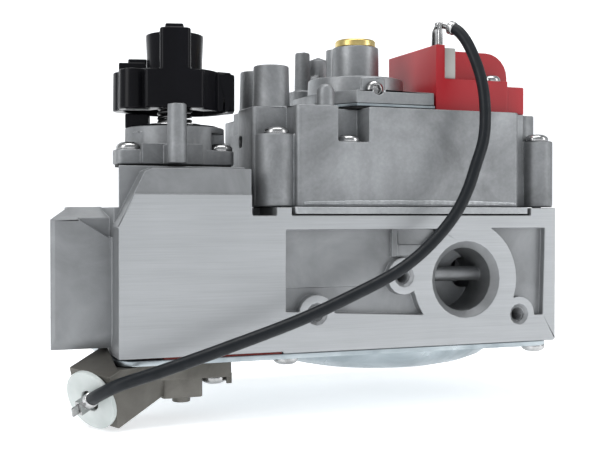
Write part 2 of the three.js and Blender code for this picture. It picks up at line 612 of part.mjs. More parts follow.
function makeAdjuster() {
  const { top, cap } = REG_Z;
  const body = turned(REG.x, REG.y, [[0, 69], [2.4, 69], [2.4, 79], [6.4, 79], [6.4, top + 0.2],
    [7.4, top + 0.2], [7.4, cap - 0.6], [6.9, cap], [0, cap]], 32);
  return body.subtract(box(REG.x - 5.6, REG.x + 5.6, REG.y - 0.8, REG.y + 0.8, cap - 1.4, cap + 1));
}

function makeServoCover() {
  const bridge = roundedBox(-44, -20, 52, 70, CASING.top + 0.2, 70, 3);
  const nipple = post(-39.7, 56, 68, 84.8, 3.1, 2.8, 20);
  const knuckle = turned(-31.5, 60, [[0, 68], [4.8, 68], [4.8, 79.5], [3.6, 82.8], [0, 84.2]], 20);
  const shoulder = turned(-35, 56.5, [[0, 68], [3.6, 68], [3.4, 74], [2.2, 76], [0, 76.6]], 16);
  return union([bridge, nipple, knuckle, shoulder]);
}

// ---- operator coil ----
const INSERT_RIGHT = 2.1;
const BLADE = { x: -4.1, y: 13.9, halfX: 0.4, halfY: 2.3 };

function makeCoilHousing() {
  const { left, front, back, bottom, top, ledge } = COIL;
  const lower = box(left, 23, front, back, bottom, ledge);
  const side = box(20, COIL.right, front + 2, back - 4, bottom, 69.8);
  const wall = box(left, left + COIL_WALL, front, back, bottom, top);
  const insertSeat = box(left + COIL_WALL, INSERT_RIGHT + 0.3, front + 1, 25, ledge, top + 1);
  const bobbinRoom = post(...COIL_AXIS, bottom - 1, 79, 9.3, 9.3, 32);
  const bladeSlot = box(BLADE.x - 0.85, BLADE.x + 0.85, BLADE.y - 2.7, BLADE.y + 2.7, 78, top + 1);
  const shankHole = screwHole(...COIL_SCREW, bottom - 1, ledge + 1);
  const headRoom = post(...COIL_SCREW, ledge, 78, 4, 4, 20);
  const whole = union([lower, side, wall, roundedCrown()]);
  return cut(whole, [insertSeat, bobbinRoom, bladeSlot, shankHole, headRoom]);
}

// Upper block of the coil, set back from the ledge, with its right shoulder rounded.
function roundedCrown() {
  const radius = 9;
  const right = 30.3;
  const points = [[COIL.left + 1, COIL.ledge - 3], [right, COIL.ledge - 3]];
  for (let i = 0; i <= 6; i += 1) {
    const angle = i / 6 * Math.PI / 2;
    points.push([right - radius + radius * Math.cos(angle), COIL.top - radius + radius * Math.sin(angle)]);
  }
  points.push([COIL.left + 1, COIL.top]);
  return plateXZ(points, 22, COIL.back - 4);
}

// ---- lower terminal block and the lead ----
const blockBasis = (() => {
  const across = new THREE.Vector3(0.581, -0.806, -0.11).normalize();
  across.addScaledVector(BLOCK_AXIS, -across.dot(BLOCK_AXIS)).normalize();
  const up = new THREE.Vector3().crossVectors(BLOCK_AXIS, across).normalize();
  if (up.z < 0) {
    up.negate();
  }
  const side = new THREE.Vector3().crossVectors(up, BLOCK_AXIS);
  return new THREE.Matrix4().makeBasis(side, up, BLOCK_AXIS).setPosition(BLOCK_FACE);
})();

// Places a solid made along +Z with its face at z = 0 on the angled end of the block.
function onBlock(geometry) {
  return toManifold(geometry.applyMatrix4(blockBasis));
}

function blockCylinder(r, from, to, segments = SEGMENTS) {
  const geometry = new THREE.CylinderGeometry(r, r, to - from, segments);
  geometry.rotateX(Math.PI / 2);
  geometry.translate(0, 0, (from + to) / 2);
  return onBlock(geometry);
}

const BLOCK_WIDTH = 17;
const BLOCK_HEIGHT = 18;
const BLOCK_TOP = COVER.top - COVER.thickness - GAP;
const BLOCK_SCREW = [-87.6, 15, -30.9];

function makeBlock() {
  const arm = new THREE.BoxGeometry(BLOCK_WIDTH, BLOCK_HEIGHT, 34);
  arm.translate(0, 0, 17);
  const [screwX, screwY, screwZ] = BLOCK_SCREW;
  const foot = roundedBox(-108, -82.6, 10, 24, screwZ, BLOCK_TOP, 1.5);
  const pad = roundedBox(-106, -92.4, 10.6, 24, -37, screwZ + 1, 1.5);
  const endWall = box(-84.4, -82.6, 10.6, 24, -33.2, screwZ + 1);
  const boss = post(-99, 14, -38.6, -36, 3, 3, 16);
  const above = box(BODY.left - 0.6, 60, -40, 120, BLOCK_TOP, 60);
  const clear = box(-143, -120, 9.4, 60, END_BLOCK.bottom - GAP, 60);
  const headRoom = post(screwX, screwY, -50, screwZ, SCREW_HEAD_R + 0.4, SCREW_HEAD_R + 0.4, 20);
  return cut(union([onBlock(arm), foot, pad, endWall, boss]), [above, clear, headRoom,
    screwHole(screwX, screwY, -50, BLOCK_TOP + 1), blockCylinder(3.2, -1, 9, 16)]);
}

// The lead's middle line, from the coil's tab across the front to the lower block.
const LEAD_POINTS = [
  [0.2, 12.4, 90.2], [1.7, 9.6, 88.7], [3.4, 6.6, 84.9], [5, 2, 76.4], [5.3, -2, 67.6], [4.5, -5, 57.6],
  [2.3, -7.5, 48.5], [-1.6, -9, 39.5], [-5.4, -10, 31], [-10.9, -11, 22.6], [-20.9, -12, 12.6],
  [-32.5, -13, 4.6], [-50.8, -14, -3.6], [-68.4, -15, -10.3], [-93.2, -15.5, -18.1], [-114, -14, -24.6],
  [-124.7, -10.6, -28.2], [-129.7, -4.8, -31.8], [-131.5, 0.2, -34.2],
];

function makeLead() {
  const points = LEAD_POINTS.map((point) => new THREE.Vector3(...point));
  const path = new THREE.CatmullRomCurve3(points, false, 'centripetal');
  const section = new THREE.Shape();
  section.absarc(0, 0, LEAD_R, 0, 2 * Math.PI);
  return toManifold(new THREE.ExtrudeGeometry(section, { steps: 36, curveSegments: 4, extrudePath: path }));
}

// A cylinder between two points in space.
function rodBetween(from, to, r, segments = 16) {
  const direction = new THREE.Vector3().subVectors(to, from);
  const geometry = new THREE.CylinderGeometry(r, r, direction.length(), segments);
  geometry.applyQuaternion(new THREE.Quaternion().setFromUnitVectors(
    new THREE.Vector3(0, 1, 0), direction.clone().normalize()));
  geometry.translate(...new THREE.Vector3().addVectors(from, to).multiplyScalar(0.5));
  return toManifold(geometry);
}

function leadEnd(index, inner) {
  const end = new THREE.Vector3(...LEAD_POINTS.at(index));
  const outward = end.clone().sub(new THREE.Vector3(...LEAD_POINTS.at(inner))).normalize();
  return { end, outward };
}

// Push-on terminal: a sleeve over the blade and a barrel that meets the lead's end.
function makeUpperTerminal() {
  const sleeve = box(BLADE.x - 1.7, BLADE.x + 1.5, BLADE.y - 3, BLADE.y + 3, COIL.top + GAP, 90.4);
  const slot = box(BLADE.x - 0.55, BLADE.x + 0.55, BLADE.y - 2.6, BLADE.y + 2.6, COIL.top - 1, 89.8);
  const shoulder = box(BLADE.x - 1.7, -0.6, BLADE.y - 0.7, BLADE.y + 2.6, 89, 91.8);
  const { end, outward } = leadEnd(0, 1);
  const start = end.clone().addScaledVector(outward, 2 * GAP);
  const barrel = rodBetween(start, start.clone().addScaledVector(outward, 3), 1.8);
  return cut(union([sleeve, shoulder, barrel]), [slot]);
}

// Half sizes of the block's narrow blade, whose thin side faces the lead.
const BLADE_W = 1.4;
const BLADE_T = 0.25;

function blockBox(x, y, from, to) {
  const geometry = new THREE.BoxGeometry(2 * x, 2 * y, to - from);
  geometry.translate(0, 0, (from + to) / 2);
  return onBlock(geometry);
}

function makeLowerTerminal() {
  const { end, outward } = leadEnd(-1, -2);
  const start = end.clone().addScaledVector(outward, 2 * GAP);
  const barrel = rodBetween(start, end.clone().addScaledVector(outward, 3.2), 1.6);
  const sleeve = blockBox(BLADE_T + 0.8, BLADE_W + 0.8, -6.8, -2.4);
  return sleeve.add(barrel).subtract(blockBox(BLADE_T + 0.15, BLADE_W + 0.15, -12, 0));
}

// ---- every piece in its place ----
function addBody() {
  addMesh('valve_body', makeBody(), 'castAluminium');
  addMesh('bottom_gasket', makeCoverGasket(), 'redGasket');
  addMesh('bottom_cover', makeCover(), 'zinc');
  COVER_SCREWS.forEach(([x, y], i) => {
    const seat = [x, y, COVER.top - COVER.thickness];
    addScrew(`cover_screw_${i + 1}`, seat, COVER_SCREW_LENGTH, [Math.PI, 0, 0]);
  });
}

function addMainValve() {
  addMesh('main_diaphragm', makeDiaphragm(), 'rubber');
  const plateBottom = DIAPHRAGM_BOTTOM + DIAPHRAGM_SKIN;
  addMesh('diaphragm_plate', post(VALVE.x, VALVE.y, plateBottom, -28, 18, 18, 32), 'plateAluminium');
  addMesh('main_valve_disc', makeMainValve(), 'rubber');
  addMesh('main_valve_spring', spring(VALVE.x, VALVE.y, 6.5, BODY_SEAT_Z - 0.1, 6, 1.2, 4), 'springSteel');
}

function addCasing() {
  const slotHole = screwHole(...SLOT_SCREW, 20, 28);
  const gasket = box(RECESS.left + 0.4, RECESS.right - 0.4, 1, DEPTH - 1, BODY_SEAT_Z, BODY_SEAT_Z + 0.6);
  const stemHole = post(VALVE.x, VALVE.y, 20, 28, 3, 3, 16);
  addMesh('casing_gasket', cut(gasket, [slotHole, stemHole]), 'rubber');
  const plate = slab([[-63.2, 0.3], [25.3, 0.3], [25.3, DEPTH - 0.3], [-63.9, DEPTH - 0.3], [-63.9, 1]],
    BODY_SEAT_Z + 0.6, BODY.top + 0.2);
  const bleedHole = post(VALVE.x + 14, VALVE.y, 20, 28, 2, 2, 16);
  addMesh('separator_plate', cut(plate, [slotHole, bleedHole]), 'plateAluminium');
  addMesh('upper_casing', makeCasing(), 'castAluminium');
  CASING_SCREWS.forEach((position, i) => {
    addScrew(`casing_screw_${i + 1}`, position, CASING_SCREW_LENGTH);
  });
  PRESSURE_TAPS.forEach(([x, y], i) => {
    addMesh(`pressure_tap_screw_${i + 1}`, makeSlottedScrew(x, y, 63, 73, TAP_BORE_R - GAP), 'brass');
  });
  const pilot = rodX(PILOT.y, PILOT.z, -71.6, -65.4, PILOT.r - GAP, 12);
  const slot = box(-73, -70.9, PILOT.y - 0.35, PILOT.y + 0.35, PILOT.z - 3, PILOT.z + 3);
  addMesh('pilot_adjuster', pilot.subtract(slot), 'brass');
}

function addKnob() {
  addMesh('bonnet_gasket', makeBonnetGasket(), 'rubber');
  addMesh('knob_bonnet', makeBonnet(), 'castAluminium');
  EARS.forEach(([x, y], i) => addScrew(`bonnet_screw_${i + 1}`, [x, y, EAR_TOP], 9));
  addMesh('knob_stop_ring', makeStopRing(), 'blackPlastic');
  const washer = tube(KNOB.x, KNOB.y, BONNET_TOP + 0.1, 53.7, 8.9, SPINDLE_R + 0.4);
  addMesh('spindle_washer', washer, 'brightSteel');
  addMesh('knob_spring', spring(KNOB.x, KNOB.y, 53.8, KNOB_HUB_BOTTOM - 0.1, 5.6, 0.9, 6), 'springSteel');
  addMesh('knob_spindle', makeSpindle(), 'brightSteel');
  addMesh('control_knob', makeKnob(), 'blackPlastic');
  addMesh('gas_cock', makeCock(), 'brass');
}

function addSafetyValve() {
  const profile = [[0, -8.5], [1.5, -8.5], [1.5, -4.5], [7, -4.5], [7, -2], [0, -2]];
  const disc = turned(KNOB.x, KNOB.y, profile, 24);
  addMesh('safety_valve_disc', disc, 'rubber');
  addMesh('safety_valve_spring', spring(KNOB.x, KNOB.y, -13.9, -4.6, 4.6, 0.9, 4), 'springSteel');
  const magnetR = COCK_BORE_R - GAP;
  const magnet = post(KNOB.x, KNOB.y, BODY.bottom + GAP, -14, magnetR, magnetR, 24);
  addMesh('safety_magnet', magnet, 'brightSteel');
}

function addRegulator() {
  const hole = post(REG.x, REG.y, 50, 70, 3, 3, 16);
  const gasket = slab(regulatorOutline(0.8), REG_Z.gasket, REG_Z.plate - 0.1);
  addMesh('regulator_gasket', gasket.subtract(hole), 'rubber');
  const plate = slab(regulatorOutline(-0.2), REG_Z.plate, REG_Z.base - 0.1);
  addMesh('regulator_plate', plate.subtract(hole), 'zinc');
  addMesh('regulator_housing', makeRegulatorHousing(), 'castAluminium');
  const { x, z, face, headR } = REG_SCREW;
  addScrew('regulator_screw', [x, face, z], 3.4, [Math.PI / 2, 0, 0], headR);
  addMesh('regulator_adjuster', makeAdjuster(), 'brass');
  addMesh('regulator_spring_seat', tube(REG.x, REG.y, 76, 78.6, 6.5, 2.8, 24), 'brass');
  addMesh('regulator_spring', spring(REG.x, REG.y, 63.6, 75.9, 5.2, 1, 5), 'springSteel');
  addMesh('servo_diaphragm', post(REG.x, REG.y, 62.4, 63.4, 14, 14, 32), 'rubber');
  addMesh('servo_cover', makeServoCover(), 'castAluminium');
}

function addCoil() {
  addMesh('coil_housing', makeCoilHousing(), 'redPlastic');
  const insert = box(COIL.left + COIL_WALL + 0.2, INSERT_RIGHT, COIL.front + 1.5, 21.7,
    COIL.ledge + 0.2, 82.6);
  addMesh('coil_insert', insert, 'greyPlastic');
  addScrew('coil_screw', [...COIL_SCREW, COIL.ledge + 0.1], 14, [0, 0, 0], 3.6);
  addMesh('coil_winding', tube(...COIL_AXIS, COIL.bottom + GAP, 78, 9, 5, 32), 'copper');
  addMesh('coil_plunger', post(...COIL_AXIS, COIL.bottom + GAP, 73, 4.6, 4.6, 24), 'brightSteel');
  addMesh('plunger_spring', spring(...COIL_AXIS, 73.1, 78.8, 3, 0.8, 4), 'springSteel');
  const blade = box(BLADE.x - BLADE.halfX, BLADE.x + BLADE.halfX, BLADE.y - BLADE.halfY,
    BLADE.y + BLADE.halfY, 78.3, 89.4);
  addMesh('coil_blade', blade, 'brightSteel');
}

function addLead() {
  addMesh('thermocouple_block', makeBlock(), 'zincCasting');
  const disc = blockCylinder(9.8, -2, -GAP, 32).subtract(blockCylinder(3.4, -5, 5, 16));
  addMesh('insulating_disc', disc, 'nylon');
  addMesh('block_blade', blockBox(BLADE_T, BLADE_W, -9.5, 8), 'brightSteel');
  addScrew('block_screw', BLOCK_SCREW, 5.6, [Math.PI, 0, 0]);
  addMesh('lead_terminal_upper', makeUpperTerminal(), 'brightSteel');
  addMesh('lead_terminal_lower', makeLowerTerminal(), 'brightSteel');
  addMesh('jumper_lead', makeLead(), 'leadSleeve');
}

addBody();
addMainValve();
addCasing();
addKnob();
addSafetyValve();
addRegulator();
addCoil();
addLead();

export default group;
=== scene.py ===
"""Looks of the gas valve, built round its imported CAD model.

Metres, +Z up. The origin is the middle of the inlet port's mouth. Small sizes are in mm, times MM.
"""

import json
import math

import bmesh
import bpy
from mathutils import Matrix, Vector

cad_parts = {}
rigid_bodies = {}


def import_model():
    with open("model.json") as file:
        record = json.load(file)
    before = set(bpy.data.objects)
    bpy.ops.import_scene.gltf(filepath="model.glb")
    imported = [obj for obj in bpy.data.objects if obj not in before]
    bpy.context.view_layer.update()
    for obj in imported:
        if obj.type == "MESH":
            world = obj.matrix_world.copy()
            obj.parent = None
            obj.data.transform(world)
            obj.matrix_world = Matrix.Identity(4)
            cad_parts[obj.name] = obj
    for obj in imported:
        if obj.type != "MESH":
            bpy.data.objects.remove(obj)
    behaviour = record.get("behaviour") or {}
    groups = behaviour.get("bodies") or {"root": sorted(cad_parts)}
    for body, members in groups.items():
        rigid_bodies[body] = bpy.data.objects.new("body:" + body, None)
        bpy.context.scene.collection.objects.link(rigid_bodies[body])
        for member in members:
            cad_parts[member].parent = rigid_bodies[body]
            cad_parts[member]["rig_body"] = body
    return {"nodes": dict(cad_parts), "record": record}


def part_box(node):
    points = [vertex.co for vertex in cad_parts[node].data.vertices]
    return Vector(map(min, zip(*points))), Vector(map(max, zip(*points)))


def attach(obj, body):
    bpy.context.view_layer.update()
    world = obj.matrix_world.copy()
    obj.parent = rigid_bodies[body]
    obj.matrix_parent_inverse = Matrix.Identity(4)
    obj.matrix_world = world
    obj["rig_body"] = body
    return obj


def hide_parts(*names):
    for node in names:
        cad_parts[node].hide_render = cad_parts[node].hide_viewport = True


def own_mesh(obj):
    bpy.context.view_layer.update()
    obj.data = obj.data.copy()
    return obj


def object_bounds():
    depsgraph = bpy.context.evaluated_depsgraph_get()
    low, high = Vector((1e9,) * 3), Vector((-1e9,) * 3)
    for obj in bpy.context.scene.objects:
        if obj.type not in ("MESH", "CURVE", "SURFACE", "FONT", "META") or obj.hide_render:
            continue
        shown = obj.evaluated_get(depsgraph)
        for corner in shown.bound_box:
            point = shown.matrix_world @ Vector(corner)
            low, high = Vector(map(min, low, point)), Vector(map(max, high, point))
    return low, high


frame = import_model()
cad_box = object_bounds()
MM = 0.001
NODES = frame["nodes"]


def new_object(name, data):
    made = bpy.data.objects.new(name, data)
    bpy.context.scene.collection.objects.link(made)
    return made


# ---- camera, floor and light ----
def make_camera():
    data = bpy.data.cameras.new("camera")
    data.sensor_width = 36
    data.lens = 62.9
    data.clip_start = 0.01
    camera = new_object("camera", data)
    camera.location = (-0.1876, -0.3208, 0.0229)
    yaw, pitch = math.radians(21.3), math.radians(0.6)
    camera.rotation_euler = (math.radians(90) - pitch, 0, -yaw)
    bpy.context.scene.camera = camera


def area_light(name, place, target, size, power):
    data = bpy.data.lights.new(name, "AREA")
    data.shape = "RECTANGLE"
    data.size, data.size_y = size
    data.energy = power
    lamp = new_object(name, data)
    lamp.location = place
    aim = Vector(target) - Vector(place)
    lamp.rotation_euler = aim.to_track_quat("-Z", "Y").to_euler()


def make_lights():
    """Three softboxes, and a world that is a little brighter near the horizon."""
    middle = (-0.05, 0.04, 0.03)
    area_light("softbox_left", (-0.85, -0.25, 0.45), middle, (0.35, 0.8), 3.4)
    area_light("softbox_right", (0.65, -0.55, 0.35), middle, (0.3, 0.7), 2.0)
    area_light("softbox_top", (-0.05, -0.05, 0.95), middle, (0.8, 0.5), 5.5)
    world = bpy.data.worlds.new("studio")
    world.use_nodes = True
    tree = world.node_tree
    background = tree.nodes["Background"]
    direction = tree.nodes.new("ShaderNodeTexCoord").outputs["Generated"]
    height = tree.nodes.new("ShaderNodeSeparateXYZ")
    tree.links.new(height.inputs[0], direction)
    ramp = tree.nodes.new("ShaderNodeMapRange")
    tree.links.new(ramp.inputs["Value"], height.outputs["Z"])
    ramp.inputs["From Min"].default_value = -0.1
    ramp.inputs["To Min"].default_value = 0.62
    ramp.inputs["To Max"].default_value = 0.34
    tree.links.new(background.inputs["Strength"], ramp.outputs["Result"])
    background.inputs["Color"].default_value = (0.94, 0.97, 1.0, 1)
    bpy.context.scene.world = world
    bpy.context.scene.view_settings.view_transform = "Standard"


def make_backdrop(material):
    """White floor that sweeps up into a white wall far behind the object."""
    level = cad_box[0].z - 0.6 * MM
    front, left, right = -3.0, -3.0, 4.0
    behind, bend, rise, steps = 2.2, 0.5, 2.4, 8
    profile = [(front, level), (behind, level)]
    for i in range(1, steps + 1):
        angle = math.radians(90 * i / steps)
        profile.append((behind + bend * math.sin(angle), level + bend * (1 - math.cos(angle))))
    profile.append((behind + bend, level + rise))
    vertices = [(x, y, z) for y, z in profile for x in (left, right)]
    faces = [(2 * i, 2 * i + 1, 2 * i + 3, 2 * i + 2) for i in range(len(profile) - 1)]
    mesh = bpy.data.meshes.new("floor")
    mesh.from_pydata(vertices, [], faces)
    mesh.shade_smooth()
    floor = new_object("floor", mesh)
    mesh.materials.append(material)


# ---- material building ----
class Shader:
    """A material's node tree, built with short calls. Coordinates are the object's, in metres."""

    def __init__(self, name):
        self.material = bpy.data.materials.new(name)
        self.material.use_nodes = True
        self.tree = self.material.node_tree
        self.bsdf = self.tree.nodes["Principled BSDF"]
        self.coordinates = self.add("ShaderNodeTexCoord").outputs["Object"]

    def add(self, kind, **values):
        node = self.tree.nodes.new(kind)
        for key, value in values.items():
            setattr(node, key, value)
        return node

    def plug(self, socket, value):
        if isinstance(value, bpy.types.NodeSocket):
            self.tree.links.new(value, socket)
        else:
            socket.default_value = value

    def set(self, **values):
        names = {"metal": "Metallic", "rough": "Roughness", "colour": "Base Color",
                 "specular": "Specular IOR Level", "subsurface": "Subsurface Weight",
                 "radius": "Subsurface Radius", "scale": "Subsurface Scale"}
        for key, value in values.items():
            self.plug(self.bsdf.inputs[names[key]], value)

    def stretched(self, scale):
        mapping = self.add("ShaderNodeMapping")
        self.plug(mapping.inputs["Vector"], self.coordinates)
        mapping.inputs["Scale"].default_value = scale
        return mapping.outputs["Vector"]

    def noise(self, scale, detail=4, rough=0.6, stretch=(1, 1, 1), distortion=0.0):
        node = self.add("ShaderNodeTexNoise")
        self.plug(node.inputs["Vector"], self.stretched(stretch))
        node.inputs["Scale"].default_value = scale
        node.inputs["Detail"].default_value = detail
        node.inputs["Roughness"].default_value = rough
        node.inputs["Distortion"].default_value = distortion
        return node.outputs["Fac"]

    def remap(self, value, low, high, to_low=0.0, to_high=1.0):
        node = self.add("ShaderNodeMapRange")
        for socket, item in zip(node.inputs[:5], (value, low, high, to_low, to_high)):
            self.plug(socket, item)
        return node.outputs["Result"]

    def math(self, operation, a, b=0.0):
        node = self.add("ShaderNodeMath", operation=operation)
        self.plug(node.inputs[0], a)
        self.plug(node.inputs[1], b)
        return node.outputs[0]

    def blend(self, factor, a, b, how="MIX"):
        """Mixes two colours. A Mix node holds its colour sockets at 6, 7 and output 2."""
        node = self.add("ShaderNodeMix", data_type="RGBA", blend_type=how)
        self.plug(node.inputs[0], factor)
        self.plug(node.inputs[6], a)
        self.plug(node.inputs[7], b)
        return node.outputs[2]

    def between(self, factor, a, b):
        """Mixes two numbers. A Mix node holds its number sockets at 2, 3 and output 0."""
        node = self.add("ShaderNodeMix", data_type="FLOAT")
        self.plug(node.inputs[0], factor)
        self.plug(node.inputs[2], a)
        self.plug(node.inputs[3], b)
        return node.outputs[0]

    def normal(self):
        return self.add("ShaderNodeNewGeometry").outputs["Normal"]

    def part(self, vector, letter):
        node = self.add("ShaderNodeSeparateXYZ")
        self.plug(node.inputs[0], vector)
        return node.outputs[letter]

    def edges(self, strength):
        """Rises from 0 on the faces along their convex and concave edges: a painted edge highlight, in
        part the wear where handling has polished the metal.
        """
        rounded = self.add("ShaderNodeBevel", samples=6)
        rounded.inputs["Radius"].default_value = 0.45 * MM
        turn = self.add("ShaderNodeVectorMath", operation="DOT_PRODUCT")
        self.plug(turn.inputs[0], rounded.outputs[0])
        self.plug(turn.inputs[1], self.normal())
        broken = self.remap(self.noise(260, 3, 0.6), 0.3, 0.55, 0.3, 1.0)
        bent = self.remap(turn.outputs["Value"], 0.985, 0.86, 0, strength)
        return self.math("MULTIPLY", bent, broken)

    def bump(self, *layers):
        """Each layer is (height, distance in metres, strength)."""
        normal = None
        for height, distance, strength in layers:
            node = self.add("ShaderNodeBump")
            node.inputs["Distance"].default_value = distance
            node.inputs["Strength"].default_value = strength
            self.plug(node.inputs["Height"], height)
            if normal is not None:
                self.plug(node.inputs["Normal"], normal)
            normal = node.outputs["Normal"]
        self.plug(self.bsdf.inputs["Normal"], normal)


def grey(value, tint=(1, 1, 1)):
    return (value * tint[0], value * tint[1], value * tint[2], 1)


COOL = (0.97, 1.0, 1.03)


def cast_stains(s):
    """Soft stains, and the tone that they and the faint vertical drag marks give together."""
    stains = s.noise(38, 5, 0.62, distortion=0.6)
    drag = s.noise(60, 3, 0.5, stretch=(1, 1, 0.12))
    mixed = s.math("ADD", s.math("MULTIPLY", stains, 0.65), s.math("MULTIPLY", drag, 0.35))
    return stains, s.remap(mixed, 0.36, 0.64)


def cast_aluminium(name, dark, light, rough=0.48):
    """Die-cast skin: soft stains, faint vertical drag marks and a fine pebbled surface."""
    s = Shader(name)
    stains, tone = cast_stains(s)
    speck = s.remap(s.noise(900, 2, 0.5), 0.35, 0.7, 0.95, 1.05)
    colour = s.blend(tone, grey(dark, COOL), grey(light, COOL))
    shade = s.blend(1.0, colour, speck, "MULTIPLY")
    # Painted edge highlight, partly edge wear: a much lighter grey along convex and concave edges.
    edge_wear_and_highlight = s.blend(s.edges(0.75), shade, grey(light * 1.9, COOL))
    s.set(colour=edge_wear_and_highlight, metal=0.72,
          rough=s.remap(stains, 0.3, 0.7, rough + 0.1, rough - 0.08))
    s.bump((s.noise(420, 4, 0.6), 0.0001, 0.3), (s.noise(70, 3), 0.0004, 0.3))
    return s.material


def machined_body(name, top, depth):
    """Cast skin with milled flange faces front and back: fine horizontal tool lines and scuffs."""
    s = Shader(name)
    skin_depth = 0.25 * MM
    y, z = s.part(s.coordinates, "Y"), s.part(s.coordinates, "Z")
    facing = s.math("GREATER_THAN", s.math("ABSOLUTE", s.part(s.normal(), "Y")), 0.93)
    front = s.math("LESS_THAN", y, skin_depth)
    back = s.math("GREATER_THAN", y, depth - skin_depth)
    low = s.math("LESS_THAN", z, top)
    faces = s.math("MULTIPLY", s.math("MAXIMUM", front, back), facing)
    milled = s.math("MULTIPLY", faces, low)
    lines = s.noise(2200, 3, 0.7, stretch=(0.014, 1, 1))
    wide = s.noise(190, 3, 0.6, stretch=(0.06, 1, 1))
    clouds = s.noise(30, 4, 0.6)
    brushed = s.math("ADD", s.math("MULTIPLY", lines, 0.5), s.math("MULTIPLY", wide, 0.5))
    bright = s.blend(s.remap(brushed, 0.38, 0.62), grey(0.385, COOL), grey(0.445, COOL))
    bright = s.blend(s.remap(clouds, 0.35, 0.7, 0, 0.3), bright, grey(0.345, COOL))
    stains, tone = cast_stains(s)
    skin = s.blend(tone, grey(0.185, COOL), grey(0.30, COOL))
    rough = s.between(milled, s.remap(stains, 0.3, 0.7, 0.55, 0.42),
                      s.remap(lines, 0.3, 0.7, 0.52, 0.42))
    # Painted edge highlight, partly edge wear: light grey along convex and concave edges.
    surface = s.blend(s.edges(0.7), s.blend(milled, skin, bright), grey(0.62, COOL))
    s.set(colour=surface, metal=0.7, rough=rough)
    pebble = s.math("MULTIPLY", s.noise(420, 4, 0.6), s.math("SUBTRACT", 1.0, milled))
    scratch = s.math("MULTIPLY", lines, milled)
    s.bump((pebble, 0.00012, 0.5), (scratch, 0.00003, 0.35))
    return s.material


def sheet_zinc(name):
    """Zinc-plated sheet with cloudy bluish patches."""
    s = Shader(name)
    clouds = s.noise(45, 4, 0.55, distortion=1.2)
    colour = s.blend(s.remap(clouds, 0.3, 0.7), (0.30, 0.345, 0.37, 1),
                     (0.47, 0.52, 0.545, 1))
    s.set(colour=colour, metal=1.0, rough=s.remap(clouds, 0.3, 0.7, 0.42, 0.26))
    s.bump((s.noise(300, 3), 0.00005, 0.3), (s.noise(25, 2), 0.0005, 0.15))
    return s.material


def bright_metal(name, light, dark, rough=0.22, scale=250):
    s = Shader(name)
    patches = s.noise(scale, 4, 0.6)
    s.set(colour=s.blend(s.remap(patches, 0.35, 0.65), dark, light), metal=1.0,
          rough=s.remap(patches, 0.3, 0.7, rough + 0.12, rough - 0.04))
    s.bump((s.noise(scale * 4, 3), 0.00003, 0.35))
    return s.material


def moulded(name, colour, deep, rough, specular=0.5, grain=0.25):
    """Moulded plastic: nearly even colour, faint flow marks and a fine mould texture."""
    s = Shader(name)
    flow = s.noise(60, 3, 0.5, stretch=(1, 1, 0.25))
    s.set(colour=s.blend(s.remap(flow, 0.3, 0.7), deep, colour), metal=0.0, specular=specular,
          rough=s.remap(flow, 0.3, 0.7, rough + 0.06, rough - 0.05))
    s.bump((s.noise(1400, 2), 0.00003, grain), (s.noise(90, 2), 0.0003, 0.12))
    return s.material


def milky_nylon(name):
    """Slightly cloudy nylon that lets some light in."""
    s = Shader(name)
    clouds = s.noise(70, 3)
    colour = s.blend(s.remap(clouds, 0.3, 0.7), (0.44, 0.48, 0.47, 1), (0.58, 0.61, 0.60, 1))
    s.set(colour=colour, metal=0.0, rough=s.remap(clouds, 0.3, 0.7, 0.45, 0.3),
          subsurface=0.35, radius=(0.004, 0.004, 0.004), scale=0.6)
    s.bump((s.noise(700, 2), 0.00003, 0.2))
    return s.material


def matt_rubber(name, colour, deep, rough=0.7, scale=500, specular=0.4):
    s = Shader(name)
    patches = s.noise(scale, 4)
    s.set(colour=s.blend(s.remap(patches, 0.3, 0.7), deep, colour), metal=0.0, specular=specular,
          rough=s.remap(patches, 0.3, 0.7, rough + 0.1, rough - 0.08))
    s.bump((patches, 0.00006, 0.4))
    return s.material


def zinc_casting(name):
    """Warm grey die casting with a dull, slightly streaked skin."""
    s = Shader(name)
    stains = s.noise(55, 5, 0.6, distortion=0.5)
    colour = s.blend(s.remap(stains, 0.3, 0.7), (0.095, 0.090, 0.080, 1), (0.175, 0.168, 0.152, 1))
    # Painted edge highlight, partly edge wear: a lighter grey along convex and concave edges.
    edge_wear_and_highlight = s.blend(s.edges(0.6), colour, (0.30, 0.29, 0.27, 1))
    s.set(colour=edge_wear_and_highlight, metal=0.7, rough=s.remap(stains, 0.3, 0.7, 0.62, 0.48))
    s.bump((s.noise(500, 4), 0.0001, 0.5))
    return s.material


def pale_floor(name):
    s = Shader(name)
    s.set(colour=(0.92, 0.92, 0.92, 1), rough=0.9, specular=0.1)
    s.plug(s.bsdf.inputs["Emission Color"], (0.96, 0.98, 1.0, 1))
    s.plug(s.bsdf.inputs["Emission Strength"], 0.56)
    return s.material


